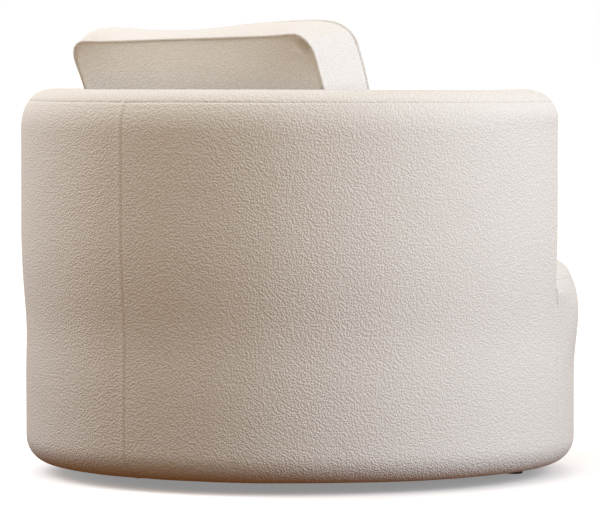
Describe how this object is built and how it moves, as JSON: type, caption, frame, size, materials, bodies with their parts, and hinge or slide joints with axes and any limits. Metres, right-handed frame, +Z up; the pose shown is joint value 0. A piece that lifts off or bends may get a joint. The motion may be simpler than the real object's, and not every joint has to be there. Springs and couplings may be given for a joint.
{
  "type": "upholstered armchair",
  "caption": "Round drum-shaped upholstered armchair with a curved back that runs into the arms, a sprung seat with a rounded open front, and a loose leaning back cushion.",
  "frame": {"origin": "on the floor, under the middle of the round plan", "axes": "+Z up; the open front faces -Y, so +Y is the middle of the back and +X is the sitter's left"},
  "size_m": [1.08, 1.08, 0.869],
  "materials": {
    "timber": "sanded plywood and softwood",
    "hardboard": "smooth hardboard",
    "webbing": "woven elastic webbing",
    "spring_steel": "drawn steel wire",
    "felt": "needled felt",
    "foam": "open-cell upholstery foam",
    "boucle": "looped cream boucle",
    "dust_cloth": "black nonwoven cloth",
    "feet": "matt black plastic",
    "screws": "zinc-plated steel",
    "filling": "soft foam and fibre core",
    "zip_tape": "woven tape and nylon coil",
    "zip_metal": "nickel-plated zinc"
  },
  "bodies": {
    "chair": {"base_ring": "timber", "seat_ring": "timber", "top_rib": "timber", "base_posts": "timber", "shell_posts": "timber", "arm_end_board_left": "timber", "arm_end_board_right": "timber", "outer_hardboard": "hardboard", "front_hardboard": "hardboard", "back_webbing": "webbing", "spring_clips": "spring_steel", "spring_ties": "spring_steel", "seat_spring_1": "spring_steel", "seat_spring_2": "spring_steel", "seat_spring_3": "spring_steel", "seat_spring_4": "spring_steel", "seat_spring_5": "spring_steel", "seat_spring_6": "spring_steel", "seat_spring_7": "spring_steel", "spring_pad": "felt", "outer_foam": "foam", "inner_foam": "foam", "rim_foam": "foam", "arm_end_foam_left": "foam", "arm_end_foam_right": "foam", "front_foam": "foam", "seat_foam": "foam", "outer_cover_left": "boucle", "outer_cover_right": "boucle", "rim_cover": "boucle", "inner_cover": "boucle", "arm_end_cover_left": "boucle", "arm_end_cover_right": "boucle", "front_cover": "boucle", "seat_cover": "boucle", "dust_cover": "dust_cloth", "foot_arm_left": "feet", "foot_arm_right": "feet", "foot_front_left": "feet", "foot_front_right": "feet", "foot_rear_left": "feet", "foot_rear_right": "feet", "foot_screws": "screws"},
    "back_cushion": {"cushion_filling": "filling", "cushion_front_panel": "boucle", "cushion_back_panel": "boucle", "cushion_boxing": "boucle", "cushion_bottom": "boucle", "cushion_welt_back": "boucle", "cushion_welt_front": "boucle", "zip_tapes": "zip_tape", "zip_coils": "zip_tape"},
    "zip_slider": {"zip_slider": "zip_metal"},
    "zip_pull": {"zip_pull": "zip_metal"}
  },
  "joints": [
    {"name": "cushion_lift", "type": "slide", "parent": "chair", "child": "back_cushion", "axis": [0, 0, 1], "range_m": [0, 0.45]},
    {"name": "zip_slide", "type": "slide", "parent": "back_cushion", "child": "zip_slider", "axis": [1, 0, 0], "range_m": [0, 0.44]},
    {"name": "zip_pull_hinge", "type": "hinge", "parent": "zip_slider", "child": "zip_pull", "pos_m": [-0.225, 0.22673, 0.47139], "axis": [0, 0.2756, 0.9613], "range_deg": [0, 170]}
  ]
}
